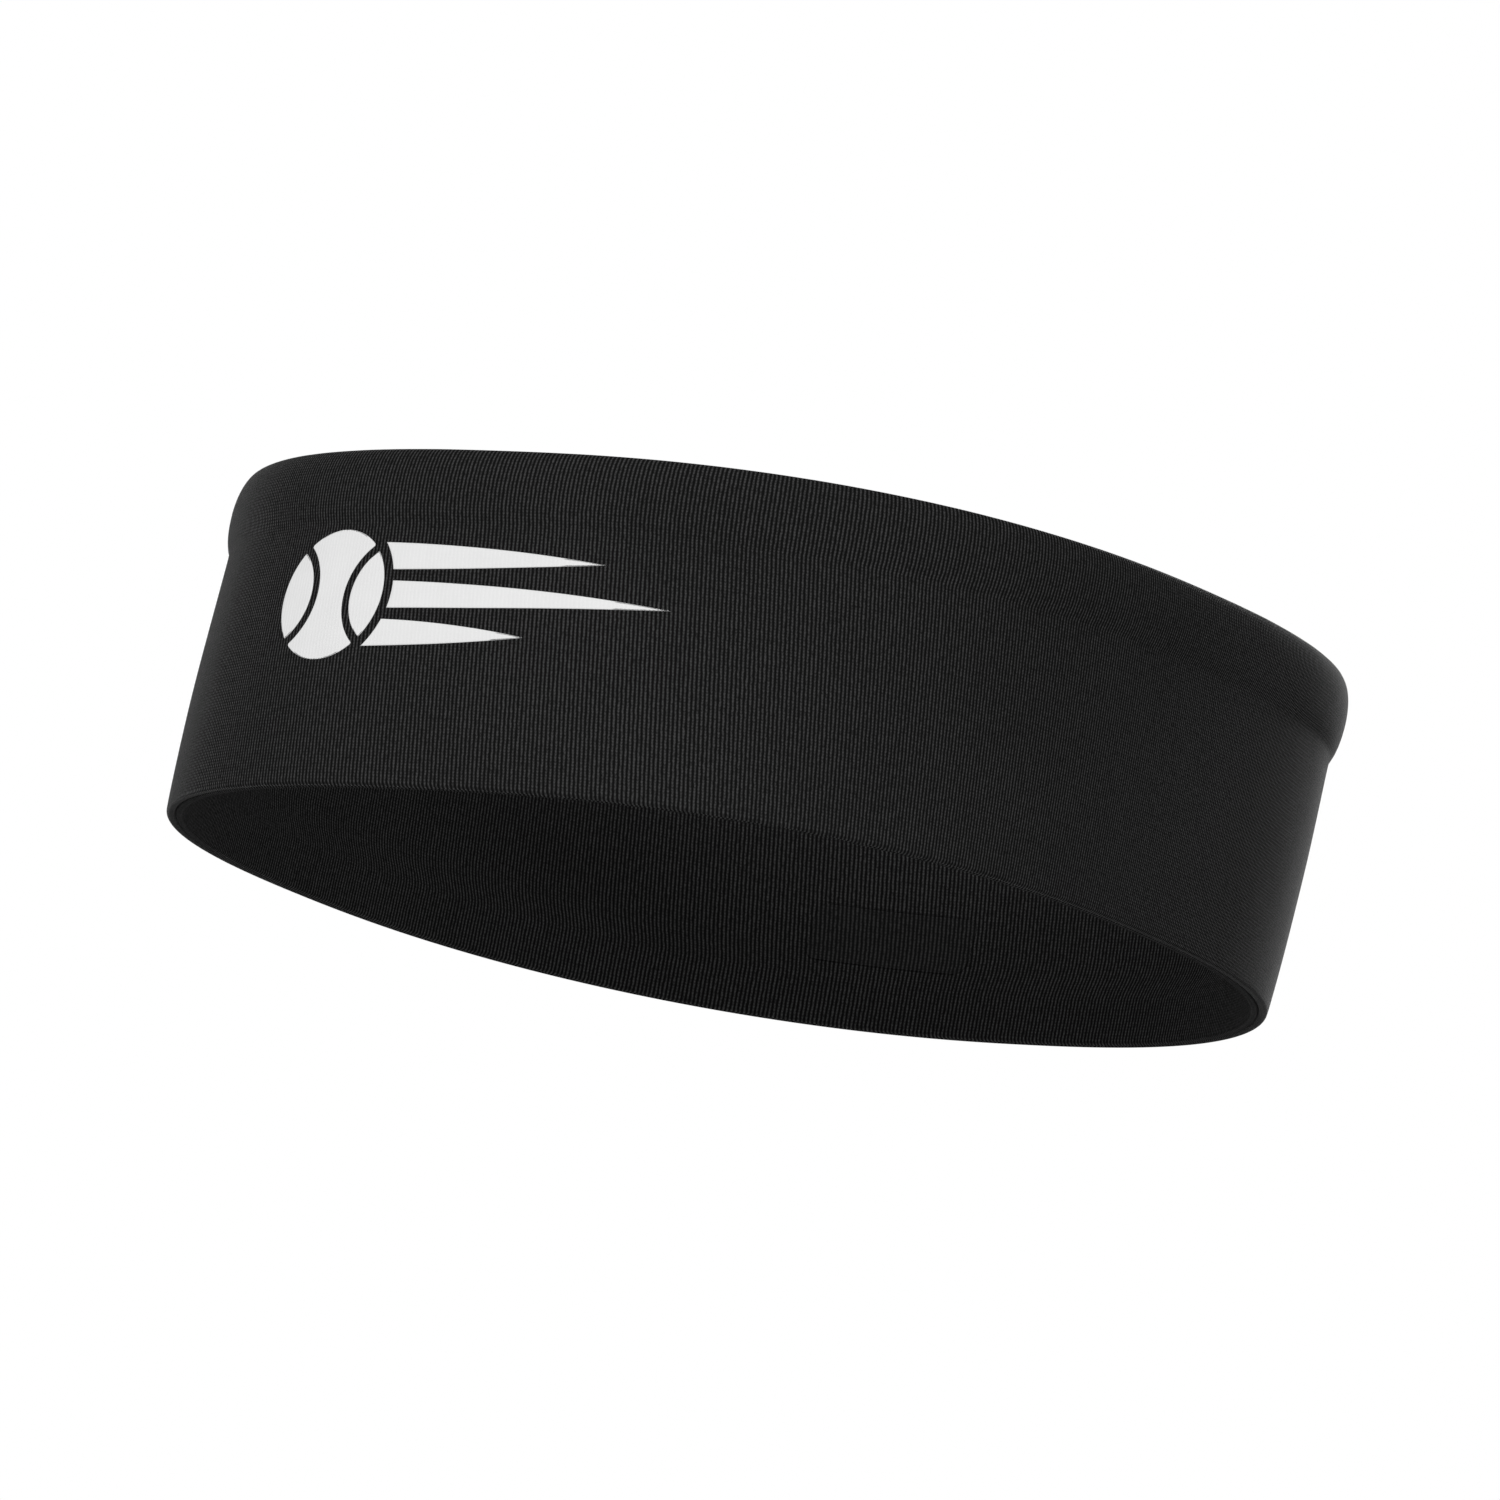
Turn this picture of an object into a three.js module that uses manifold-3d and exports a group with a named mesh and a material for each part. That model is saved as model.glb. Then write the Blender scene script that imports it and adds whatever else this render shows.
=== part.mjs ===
// Sports headband: two knitted tubes, an outer and a lining, sewn together along the bottom
// edge and joined under a turned hem along the top edge, with an elastic inside the hem.
// It is shaped as it sits on a head: +Z up, front towards -Y, the wearer's left towards +X.
// The bottom edge lies flat on z = 0. Millimetres.
import * as THREE from 'three';
import { mergeVertices } from 'three/addons/utils/BufferGeometryUtils.js';
import Module from 'manifold-3d';

// ---- The oval that the bottom edge follows
const HALF_WIDTH = 82; // across the temples, at the outer face
const HALF_LENGTH = 94; // from the middle to the forehead and to the nape
const SQUARENESS = 2.33; // 2 is an ellipse, more is squarer
const FOREHEAD_FLATNESS = 4.6; // how far the temples sit forward of an ellipse's
const STEPS_AROUND = 60;

// ---- The wall
const BAND_HEIGHT = 57;
const LEAN = 0.147; // rearward shift per unit of height, as on a forehead
const FLARE = 0.2; // how much wider the wall is at the hem than at the bottom
const BOW = 0.44; // how far the wall bows out half way up
const PLY = 0.5; // thickness of one layer of knit
const GAP = 0.3; // clearance between touching pieces

// ---- The hem along the top edge
const HEM_HEIGHT = 13;
const HEM_PROUD = 1.2; // how far it stands out from the wall
const HEM_DEPTH = 4; // through its thickest part, faces included
const HEM_CREST = 1.0; // how far the crest lies inside the wall's outer face
const LINING_TUCK = 5; // how far the lining runs up under the hem's leg
const LINING_BEND = 3; // how far below the hem the lining leaves the outer tube
const LEG_LIFT = 0.6; // the hem's leg ends this far above the hem's lower end

// ---- The elastic
const ELASTIC_WIDTH = 8;
const ELASTIC_THICKNESS = 1;
const ELASTIC_RISE = 1.6; // above the hem's lower end
const TACK_LENGTH = 9;
const TACK_HEIGHT = 3.2;
const TACK_THICKNESS = 0.4;

// ---- The seams
const ALLOWANCE = 7; // raw edges turned up inside the bottom edge
const BINDING_HEIGHT = 0.5;
const RIDGE_ROOM = 0.6; // the lining stays level for this much above the binding
const SLOPE = 4.6; // and takes this much height to lie back against the outer tube
const THREAD = 0.4;

// ---- Front print: a ball with three speed streaks
const PRINT_THICKNESS = 0.25;
const BALL_RADIUS = 11;
const BALL_ACROSS = -26; // the ball's centre, from the middle of the forehead
const PRINT_DROP = 1; // bare band between the hem and the top of the ball
const BALL_SEAM = 1.5; // bare line between the ball's pieces
const BALL_SEAM_RADIUS = 9.5;
const BALL_SEAM_REACH = 13.2; // from the ball's centre to the seam arc's centre
const STREAK_GAP = 1.8; // bare line between the ball and a streak's root
const STREAK_TALL = 4.6;
const STREAKS = [
  { name: 'print_streak_top', tip: 25, rise: 6.5 },
  { name: 'print_streak_middle', tip: 37, rise: 0 },
  { name: 'print_streak_bottom', tip: 14, rise: -6.5 },
]; // where each one's tip is, and how far it lies above the ball's centre

// ---- Care label, inside the back
const LABEL_SIZE = [26, 10];
const LABEL_CENTRE = [-28, 16];
const LABEL_CORNER = 2;
const LABEL_THICKNESS = 0.2;

const wasm = await Module();
wasm.setup();

// The oval, starting at the forehead and running past the wearer's left temple.
class HeadOutline extends THREE.Curve {
  getPoint(t, target = new THREE.Vector3()) {
    const angle = 2 * Math.PI * t - Math.PI / 2;
    const power = (value) => Math.sign(value) * Math.abs(value) ** (2 / SQUARENESS);
    const across = power(Math.cos(angle));
    const along = power(Math.sin(angle));
    const forward = FOREHEAD_FLATNESS * (across * across - 0.5);
    return target.set(HALF_WIDTH * across, HALF_LENGTH * along - forward, 0);
  }
}
const outline = new HeadOutline();
outline.arcLengthDivisions = 2400;
const CIRCUMFERENCE = outline.getLength();
const wallTop = BAND_HEIGHT - HEM_HEIGHT;

// How far the outer face stands out from the oval at a height on the wall.
const wallFace = (z) => {
  const share = z / wallTop;
  return FLARE * share + 4 * BOW * share * (1 - share);
};

// Moves a point given by its distance along the oval, its offset outwards and its height.
const place = (along, offset, z) => {
  const share = (((along / CIRCUMFERENCE) % 1) + 1) % 1;
  const point = outline.getPointAt(share);
  const ahead = outline.getPointAt((share + 1e-4) % 1);
  const behind = outline.getPointAt((share + 1 - 1e-4) % 1);
  const travel = ahead.sub(behind).normalize();
  point.x += travel.y * offset;
  point.y += -travel.x * offset + LEAN * z;
  return point.setZ(z);
};

const weld = (geometry) => {
  geometry.deleteAttribute('normal');
  geometry.deleteAttribute('uv');
  const welded = mergeVertices(geometry, 1e-4);
  welded.computeVertexNormals();
  return welded;
};

// Bends a geometry whose X runs along the oval, Y inwards from it and Z up.
const bend = (geometry) => {
  const position = geometry.getAttribute('position');
  for (let i = 0; i < position.count; i += 1) {
    const point = place(position.getX(i), -position.getY(i), position.getZ(i));
    position.setXYZ(i, point.x, point.y, point.z);
  }
  return weld(geometry);
};

// A closed ring of one cross-section, whose points are [offset outwards, height].
const ring = (section) => {
  const hub = 1000;
  const profile = [...section, section[0]].map(([offset, z]) => new THREE.Vector2(hub + offset, z));
  const lathe = new THREE.LatheGeometry(profile, STEPS_AROUND);
  const position = lathe.getAttribute('position');
  const perStep = profile.length;
  for (let i = 0; i < position.count; i += 1) {
    const step = Math.floor(i / perStep) % STEPS_AROUND;
    const { x: radius, y: z } = profile[i % perStep];
    const point = place((step / STEPS_AROUND) * CIRCUMFERENCE, radius - hub, z);
    position.setXYZ(i, point.x, point.y, point.z);
  }
  return weld(lathe);
};

// A cross-section of even thickness along a centre line of [offset, height] points.
const ribbon = (line, thickness) => {
  const points = line.map(([offset, z]) => new THREE.Vector2(offset, z));
  const side = (sign) =>
    points.map((point, i) => {
      const before = points[Math.max(i - 1, 0)];
      const after = points[Math.min(i + 1, points.length - 1)];
      const into = point.clone().sub(i > 0 ? before : point.clone().multiplyScalar(2).sub(after));
      const out = after.clone().sub(i < points.length - 1 ? point : before);
      into.normalize();
      out.normalize();
      const mitre = into.clone().add(out).normalize();
      const stretch = Math.max(mitre.dot(into), 0.5);
      const reach = (sign * thickness) / 2 / stretch;
      return [point.x - mitre.y * reach, point.y + mitre.x * reach];
    });
  return [...side(-1), ...side(1).reverse()];
};

const rectangle = (low, high) => [
  [low[0], low[1]],
  [high[0], low[1]],
  [high[0], high[1]],
  [low[0], high[1]],
];

const between = (low, high, count) =>
  Array.from({ length: count }, (_, i) => low + ((high - low) * i) / (count - 1));

// A stretch of an ellipse, from one angle to another in degrees.
const arc = (centre, reach, from, to, count) =>
  between(from, to, count).map((angle) => {
    const turn = THREE.MathUtils.degToRad(angle);
    return [centre[0] + reach[0] * Math.cos(turn), centre[1] + reach[1] * Math.sin(turn)];
  });

// ---- Layers of the wall, as offsets of each ply's middle from the wall's outer face
const layer = PLY + GAP;
const bindingLow = ALLOWANCE + GAP;
const ridgeTop = bindingLow + BINDING_HEIGHT + RIDGE_ROOM;
const slopeTop = ridgeTop + SLOPE;
const outerPly = -PLY / 2;
const outerTurned = outerPly - layer;
const liningTurned = outerTurned - layer;
const liningLow = liningTurned - layer;
const liningHigh = outerPly - layer;
const foldRise = layer / 2;

// A fold at the bottom edge, flat underneath, from one ply's middle to the other's.
const fold = (from, to) => {
  const inset = (from - to) / 4;
  return [
    [from, PLY / 2 + foldRise],
    [from - inset, PLY / 2],
    [to + inset, PLY / 2],
    [to, PLY / 2 + foldRise],
  ];
};

// ---- Hem: over the elastic and down inside
const bulgeLevel = wallTop + HEM_HEIGHT / 2;
const hemFace = wallFace(wallTop) + HEM_PROUD;
const hemLeg = hemFace - HEM_DEPTH + PLY / 2; // middle of the leg's ply
const hemReach = HEM_HEIGHT / 2 - PLY / 2;
const hemPath = [
  ...arc([hemFace - HEM_PROUD, bulgeLevel], [HEM_PROUD, hemReach], -72, 0, 4).map(([offset, z]) => [
    offset - PLY / 2,
    z,
  ]),
  ...arc([-HEM_CREST, bulgeLevel], [hemFace - PLY / 2 + HEM_CREST, hemReach], 18, 90, 5),
  ...arc([-HEM_CREST, bulgeLevel], [-HEM_CREST - hemLeg, hemReach], 115, 180, 4),
  [hemLeg, wallTop + LEG_LIFT],
];

const onWall = (middle) => (z) => [wallFace(z) + middle, z];

const outerPath = [
  [outerTurned, ALLOWANCE],
  ...fold(outerPly, outerTurned).reverse(),
  ...between(ALLOWANCE, wallTop - LEG_LIFT, 6).map(onWall(outerPly)),
  ...hemPath,
];

const liningTuck = hemLeg + layer;
const liningPath = [
  [liningTurned, ALLOWANCE],
  ...fold(liningTurned, liningLow),
  [liningLow, ridgeTop],
  ...between(slopeTop, wallTop - LINING_BEND, 5).map(onWall(liningHigh)),
  [liningTuck, wallTop + GAP],
  [liningTuck, wallTop + LINING_TUCK],
];

// ---- Elastic: a strip whose ends meet at the back, with a tack across the joint
const elasticFace = liningTuck + PLY / 2 + GAP; // its inner face
const elasticLow = wallTop + ELASTIC_RISE;
const backCentre = CIRCUMFERENCE / 2;
const elasticLength = CIRCUMFERENCE - GAP;
const elasticStrip = new THREE.BoxGeometry(
  elasticLength,
  ELASTIC_THICKNESS,
  ELASTIC_WIDTH,
  STEPS_AROUND,
  1,
  1,
);
elasticStrip.translate(
  backCentre + CIRCUMFERENCE / 2,
  -elasticFace - ELASTIC_THICKNESS / 2,
  elasticLow + ELASTIC_WIDTH / 2,
);

const tackLow = wallTop + LINING_TUCK + GAP;
const tack = new THREE.BoxGeometry(TACK_LENGTH, TACK_THICKNESS, TACK_HEIGHT, 4, 1, 1);
tack.translate(
  backCentre,
  -elasticFace + GAP + TACK_THICKNESS / 2,
  tackLow + TACK_HEIGHT / 2,
);

// ---- Threads
const bindingSection = rectangle(
  [liningTurned - PLY / 2, bindingLow],
  [outerTurned + PLY / 2, bindingLow + BINDING_HEIGHT],
);
const seamLow = wallTop + LEG_LIFT - PLY / 2 - GAP - THREAD;
const seamSection = rectangle(
  [hemLeg - THREAD / 2, seamLow],
  [hemLeg + THREAD / 2, seamLow + THREAD],
);

// ---- Transfers: a thin skin following a face, cut by an outline seen square on
const solid = (geometry) => {
  const closed = weld(geometry.clone());
  return new wasm.Manifold(
    new wasm.Mesh({
      numProp: 3,
      vertProperties: new Float32Array(closed.getAttribute('position').array),
      triVerts: new Uint32Array(closed.index.array),
    }),
  );
};

const geometryOf = (body) => {
  const mesh = body.getMesh();
  const geometry = new THREE.BufferGeometry();
  geometry.setAttribute('position', new THREE.BufferAttribute(mesh.vertProperties, 3));
  geometry.setIndex(new THREE.BufferAttribute(mesh.triVerts, 1));
  geometry.computeVertexNormals();
  return geometry;
};

const skin = (face, levels, thickness) => {
  const near = levels.map((z) => [face(z), z]);
  const far = levels.map((z) => [face(z) + thickness, z]);
  return ring([...far, ...near.reverse()]);
};

// Pushes an outline in X and Z through the front or the back of the band.
const punch = (shape, from, to) => {
  const prism = new THREE.ExtrudeGeometry(shape, {
    depth: to - from,
    bevelEnabled: false,
    curveSegments: 10,
  });
  return prism.rotateX(Math.PI / 2).translate(0, to, 0);
};

const ballCentre = [BALL_ACROSS, wallTop - PRINT_DROP - BALL_RADIUS];
const printLevels = between(ballCentre[1] - 1.5 * BALL_RADIUS, wallTop, 5);
const printSkin = solid(skin((z) => wallFace(z) + GAP, printLevels, PRINT_THICKNESS));
const FRONT = [-HALF_LENGTH - 30, -HALF_LENGTH / 3];
const BACK = [HALF_LENGTH / 3, HALF_LENGTH + 30];
const stamp = (shape) => geometryOf(printSkin.intersect(solid(punch(shape, ...FRONT))));

const disc = (centre, radius) => {
  const shape = new THREE.Shape();
  shape.absarc(centre[0], centre[1], radius, 0, 2 * Math.PI);
  return shape;
};

// The ball is a disc cut into three by two bare arcs that curve away from its middle.
const ballBody = solid(punch(disc(ballCentre, BALL_RADIUS), ...FRONT));
const seamCutter = (side, radius) => {
  const centre = [ballCentre[0] + side * BALL_SEAM_REACH, ballCentre[1]];
  return solid(punch(disc(centre, radius), FRONT[0] - 1, FRONT[1] + 1));
};
const inkRadius = BALL_SEAM_RADIUS - BALL_SEAM / 2;
const bareRadius = BALL_SEAM_RADIUS + BALL_SEAM / 2;
const ballSide = (side) => ballBody.intersect(seamCutter(side, inkRadius)).intersect(printSkin);
const ballMiddle = ballBody
  .subtract(seamCutter(-1, bareRadius))
  .subtract(seamCutter(1, bareRadius))
  .intersect(printSkin);

// A streak starts beside the ball, square on to it, and tapers to a point.
const streak = ({ tip, rise }) => {
  const clear = BALL_RADIUS + STREAK_GAP;
  const level = ballCentre[1] + rise;
  const tall = STREAK_TALL;
  const root = (z) => ballCentre[0] + Math.sqrt(clear ** 2 - (z - ballCentre[1]) ** 2);
  const low = level - tall / 2;
  const high = level + tall / 2;
  const shape = new THREE.Shape();
  shape.moveTo(root(low), low);
  shape.quadraticCurveTo(root(low) + (tip - root(low)) * 0.55, low + tall * 0.08, tip, level);
  shape.quadraticCurveTo(root(high) + (tip - root(high)) * 0.55, high - tall * 0.08, root(high), high);
  shape.quadraticCurveTo(root(level) + 0.05, level, root(low), low);
  return shape;
};

// The label's skin follows the lining's inner face over the ridge of the raw edges.
const liningFace = (z) => {
  const low = liningLow - PLY / 2;
  const high = wallFace(slopeTop) + liningHigh - PLY / 2;
  if (z >= slopeTop) return wallFace(z) + liningHigh - PLY / 2;
  return THREE.MathUtils.mapLinear(Math.max(z, ridgeTop), ridgeTop, slopeTop, low, high);
};
const labelLevels = [ridgeTop, ...between(slopeTop, LABEL_CENTRE[1] + LABEL_SIZE[1], 4)];
const labelSkin = solid(
  skin((z) => liningFace(z) - GAP - LABEL_THICKNESS, labelLevels, LABEL_THICKNESS),
);

const roundedRectangle = ([x, z], [width, height], corner) => {
  const [left, right] = [x - width / 2, x + width / 2];
  const [low, high] = [z - height / 2, z + height / 2];
  const shape = new THREE.Shape();
  shape.moveTo(left + corner, low);
  shape.absarc(right - corner, low + corner, corner, -Math.PI / 2, 0);
  shape.absarc(right - corner, high - corner, corner, 0, Math.PI / 2);
  shape.absarc(left + corner, high - corner, corner, Math.PI / 2, Math.PI);
  shape.absarc(left + corner, low + corner, corner, Math.PI, 1.5 * Math.PI);
  return shape;
};
const labelShape = roundedRectangle(LABEL_CENTRE, LABEL_SIZE, LABEL_CORNER);
const label = geometryOf(labelSkin.intersect(solid(punch(labelShape, ...BACK))));

// ---- Materials
const knit = () => new THREE.MeshStandardMaterial({ color: 0x1b1b1c, roughness: 0.9, metalness: 0 });
const elastic = () => new THREE.MeshStandardMaterial({ color: 0x2a2a2b, roughness: 0.8, metalness: 0 });
const thread = () => new THREE.MeshStandardMaterial({ color: 0x141415, roughness: 0.6, metalness: 0 });
const print = () => new THREE.MeshStandardMaterial({ color: 0xeeeeec, roughness: 0.55, metalness: 0 });
const tonal = () => new THREE.MeshStandardMaterial({ color: 0x232324, roughness: 0.7, metalness: 0 });

const band = new THREE.Group();
const add = (name, geometry, material) => {
  const mesh = new THREE.Mesh(geometry, material());
  mesh.name = name;
  band.add(mesh);
};

add('outer_tube', ring(ribbon(outerPath, PLY)), knit);
add('lining_tube', ring(ribbon(liningPath, PLY)), knit);
add('hem_elastic', bend(elasticStrip), elastic);
add('elastic_join_tack', bend(tack), thread);
add('hem_seam_stitching', ring(seamSection), thread);
add('bottom_seam_binding', ring(bindingSection), thread);
add('print_ball_left', geometryOf(ballSide(-1)), print);
add('print_ball_middle', geometryOf(ballMiddle), print);
add('print_ball_right', geometryOf(ballSide(1)), print);
STREAKS.forEach((line) => add(line.name, stamp(streak(line)), print));
add('care_label', label, tonal);

// The origin is the middle of the band's box, on the surface that its bottom edge rests on.
const box = new THREE.Box3().setFromObject(band);
const middle = box.getCenter(new THREE.Vector3());
band.position.set(-middle.x, -middle.y, -box.min.z);

export default band;
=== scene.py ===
import bisect
import math
from functools import lru_cache

import bmesh
import bpy
from mathutils import Matrix, Vector, noise


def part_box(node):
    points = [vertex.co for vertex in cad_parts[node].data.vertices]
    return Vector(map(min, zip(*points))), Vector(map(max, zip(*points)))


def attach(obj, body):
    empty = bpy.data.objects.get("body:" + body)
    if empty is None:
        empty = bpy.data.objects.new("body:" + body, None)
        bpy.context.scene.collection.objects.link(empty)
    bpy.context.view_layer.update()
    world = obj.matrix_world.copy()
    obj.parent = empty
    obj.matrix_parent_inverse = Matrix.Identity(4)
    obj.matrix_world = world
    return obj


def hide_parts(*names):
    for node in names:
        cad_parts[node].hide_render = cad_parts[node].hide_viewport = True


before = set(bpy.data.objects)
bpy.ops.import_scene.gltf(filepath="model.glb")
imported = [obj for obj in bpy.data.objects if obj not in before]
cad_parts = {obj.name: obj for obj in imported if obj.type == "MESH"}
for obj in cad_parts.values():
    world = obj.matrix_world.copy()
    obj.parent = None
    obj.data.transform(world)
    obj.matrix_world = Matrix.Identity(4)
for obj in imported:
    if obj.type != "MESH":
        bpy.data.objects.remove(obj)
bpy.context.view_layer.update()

MM = 0.001


# ---------------------------------------------------------------- the head and the layers
HALF_WIDTH = 82
HALF_LENGTH = 94
SQUARENESS = 2.33  # 2 would be an ellipse
FOREHEAD_FLATNESS = 4.6
LEAN = 0.147  # backwards, per unit of height
FLARE = 0.2  # how far the wall leans out over its height
BOW = 0.44  # how far it bulges half way up
PLY = 0.5
LAYER = 0.8  # one ply and the gap to the next

# ---------------------------------------------------------------- the band
BAND_HEIGHT = 57
HEM_HEIGHT = 13
HEM_PROUD = 1.2  # how far the hem stands out from the wall
HEM_DEPTH = 4
HEM_CREST = 1.0  # how far inside the oval its top lies
LEG_END = 0.6  # where the hem's leg ends, above the wall's top
LINING_TUCK = 5  # how far the lining reaches up behind the hem's leg
ALLOWANCE = 7  # height of the raw edges inside the bottom
RIDGE_TOP = 8.4  # of the lining's ridge over them
SLOPE_TOP = 13
OUTER_FOLD = 1.0  # width of the outer ply's turn under the bottom edge
LINING_INSET = 1.5  # how far inside the outer ply the lining's turn starts
WALL_TOP = BAND_HEIGHT - HEM_HEIGHT
HEM_MIDDLE = WALL_TOP + HEM_HEIGHT / 2

# ---------------------------------------------------------------- the knit
OUTER_WALES = 904  # around the band
LINING_WALES = 796
COURSE = 0.5  # height of one row of loops
STEPS_AROUND = 360  # of each tube's mesh
OUTER_STRETCH = 0.18  # wales lie this much wider apart at the forehead than between
DRAWN_TOWARDS = (-0.83, -0.56)  # the side that the knit is drawn to, up the wall
WALL_DRAW = 0.175  # how far it is drawn, per unit of height
HEM_DRAW = 0.08
SEAM_DRAW = 0.07  # on the lining, over the raw edges
BROAD_WAVE = (0.10, 23)  # depth and length of the cloth's own waves
CLOSE_WAVE = (0.04, 7)
RIDGE_WAVE = (0.12, 9)  # of the lining over the raw edges
LEG_GATHERS = (0.16, 3.2)  # of the hem's leg, where it is sewn down
FACE_GATHERS = (0.05, 3.2)  # of the outside at the same height
SETTLED = 6  # the waves fade away towards the floor, over this height


# ================================================================ the head's outline
def outline_point(share):
    """The oval at the bottom edge, from the forehead round past the wearer's left temple."""
    angle = 2 * math.pi * share - math.pi / 2

    def squared(value):
        return math.copysign(abs(value) ** (2 / SQUARENESS), value)

    across = squared(math.cos(angle))
    forward = FOREHEAD_FLATNESS * (across * across - 0.5)
    return Vector((HALF_WIDTH * across, HALF_LENGTH * squared(math.sin(angle)) - forward, 0))


OUTLINE_STEPS = 2400  # of the table of lengths along the outline
outline_points = [outline_point(i / OUTLINE_STEPS) for i in range(OUTLINE_STEPS + 1)]
lengths = [0.0]
for start, end in zip(outline_points, outline_points[1:]):
    lengths.append(lengths[-1] + (end - start).length)
CIRCUMFERENCE = lengths[-1]


@lru_cache(maxsize=None)
def outline_at(along):
    """A point on the oval at a distance along it, and the direction outwards there."""
    distance = along % CIRCUMFERENCE
    step = min(bisect.bisect_right(lengths, distance), OUTLINE_STEPS) - 1
    part = (distance - lengths[step]) / (lengths[step + 1] - lengths[step])
    share = (step + part) / OUTLINE_STEPS
    nudge = 1e-4
    travel = (outline_point(share + nudge) - outline_point(share - nudge)).normalized()
    return outline_point(share), Vector((travel.y, -travel.x, 0))


def wall_face(z):
    """How far the wall's outer face stands out from the oval."""
    share = z / WALL_TOP
    return FLARE * share + 4 * BOW * share * (1 - share)


FRONT_LIMIT = outline_point(0).y + LEAN * PLY
BACK_LIMIT = outline_point(0.5).y + wall_face(WALL_TOP) + HEM_PROUD + LEAN * HEM_MIDDLE
cad_low, cad_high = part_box("outer_tube")
TO_CAD = (cad_low.y + cad_high.y) / (2 * MM) - (FRONT_LIMIT + BACK_LIMIT) / 2


def on_head(along, offset, z):
    """Where a point of the cloth lies, in millimetres."""
    point, outwards = outline_at(along)
    return point + outwards * offset + Vector((0, LEAN * z + TO_CAD, z))


def softness(along, z):
    """The knit's own slight unevenness, outwards."""
    point, _ = outline_at(along)
    broad = noise.noise(Vector((point.x, point.y, z)) / BROAD_WAVE[1])
    close = noise.noise(Vector((point.x, point.y, z * 0.6)) / CLOSE_WAVE[1])
    settle = min(1, z / SETTLED)
    return (BROAD_WAVE[0] * broad + CLOSE_WAVE[0] * close) * settle


# ================================================================ sections
def between(low, high, count):
    return [low + (high - low) * i / (count - 1) for i in range(count)]


def arc(centre, reach, start, end, count):
    """A stretch of an ellipse in a section, from one angle to another in degrees."""
    turns = [math.radians(angle) for angle in between(start, end, count)]
    return [
        (centre[0] + reach[0] * math.cos(turn), centre[1] + reach[1] * math.sin(turn))
        for turn in turns
    ]


def rounded(points, rounds=2):
    """Cuts the corners of a section's line, over and over, which leaves it smooth."""
    for _ in range(rounds):
        cut = [points[0]]
        for (ax, az), (bx, bz) in zip(points, points[1:]):
            cut.append((0.75 * ax + 0.25 * bx, 0.75 * az + 0.25 * bz))
            cut.append((0.25 * ax + 0.75 * bx, 0.25 * az + 0.75 * bz))
        points = cut + [points[-1]]
    return points


def grounded(points):
    """Sets the lowest point of a ply's middle line half a ply above the floor."""
    drop = min(z for _, z in points) - PLY / 2
    return [(offset, z - drop * max(0, 1 - z / 3)) for offset, z in points]


# Offsets of the plies' middles from the oval, outwards
OUTER = -PLY / 2
OUTER_TURNED = OUTER - LAYER
LINING_TURNED = OUTER_TURNED - LAYER
LINING_LOW = LINING_TURNED - LAYER
LINING_HIGH = OUTER - LAYER
HEM_FACE = wall_face(WALL_TOP) + HEM_PROUD  # the hem's outer face, not its ply's middle
HEM_LEG = HEM_FACE - HEM_DEPTH + PLY / 2
HEM_REACH = HEM_HEIGHT / 2 - PLY / 2  # from the hem's middle up to its ply's


def bottom_fold(outer, inner):
    """Half a turn under the bottom edge, from an inner ply to an outer one."""
    radius = (outer - inner) / 2
    return arc(((outer + inner) / 2, PLY / 2 + radius), (radius, radius), 180, 360, 7)


def outer_line():
    """The outer knit's section: allowance, fold, wall, over the hem and down its leg."""
    fold = bottom_fold(OUTER, OUTER - OUTER_FOLD)
    wall = [(wall_face(z) + OUTER, z) for z in between(3, WALL_TOP - 0.8, 8)]
    swell = [
        (wall_face(WALL_TOP) + OUTER + HEM_PROUD * full, WALL_TOP + rise)
        for rise, full in ((0.3, 0.06), (1.2, 0.36), (2.4, 0.68), (4.2, 0.92), (6.5, 1))
    ]
    crest = arc((-HEM_CREST, HEM_MIDDLE), (HEM_FACE - PLY / 2 + HEM_CREST, HEM_REACH), 16, 90, 5)
    inside = arc((-HEM_CREST, HEM_MIDDLE), (-HEM_CREST - HEM_LEG, HEM_REACH), 112, 180, 4)
    leg = [(HEM_LEG, z) for z in between(WALL_TOP + 4, WALL_TOP + LEG_END, 3)]
    turned = (OUTER_TURNED, ALLOWANCE)
    return grounded(rounded([turned, *fold, *wall, *swell, *crest, *inside, *leg]))


def lining_line():
    """The lining's section: allowance, fold, over the raw edges, wall and up behind the hem."""
    fold = bottom_fold(OUTER - LINING_INSET, LINING_LOW)[::-1]
    ridge = [(LINING_LOW, 4), (LINING_LOW - 0.05, 6.5), (LINING_LOW, RIDGE_TOP)]
    wall = [(wall_face(z) + LINING_HIGH, z) for z in between(SLOPE_TOP, WALL_TOP - 3, 6)]
    tuck = [(HEM_LEG + LAYER, z) for z in (WALL_TOP + 0.4, WALL_TOP + LINING_TUCK)]
    return grounded(rounded([(LINING_TURNED, ALLOWANCE), *fold, *ridge, *wall, *tuck]))


# ================================================================ making pieces
def finish_mesh(bm, name, material):
    """Makes a piece of a finished mesh in millimetres."""
    bmesh.ops.scale(bm, vec=(MM, MM, MM), verts=bm.verts)
    mesh = bpy.data.meshes.new(name)
    bm.to_mesh(mesh)
    bm.free()
    mesh.polygons.foreach_set("use_smooth", [True] * len(mesh.polygons))
    piece = bpy.data.objects.new(name, mesh)
    bpy.context.scene.collection.objects.link(piece)
    mesh.materials.append(material)
    return piece


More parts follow.
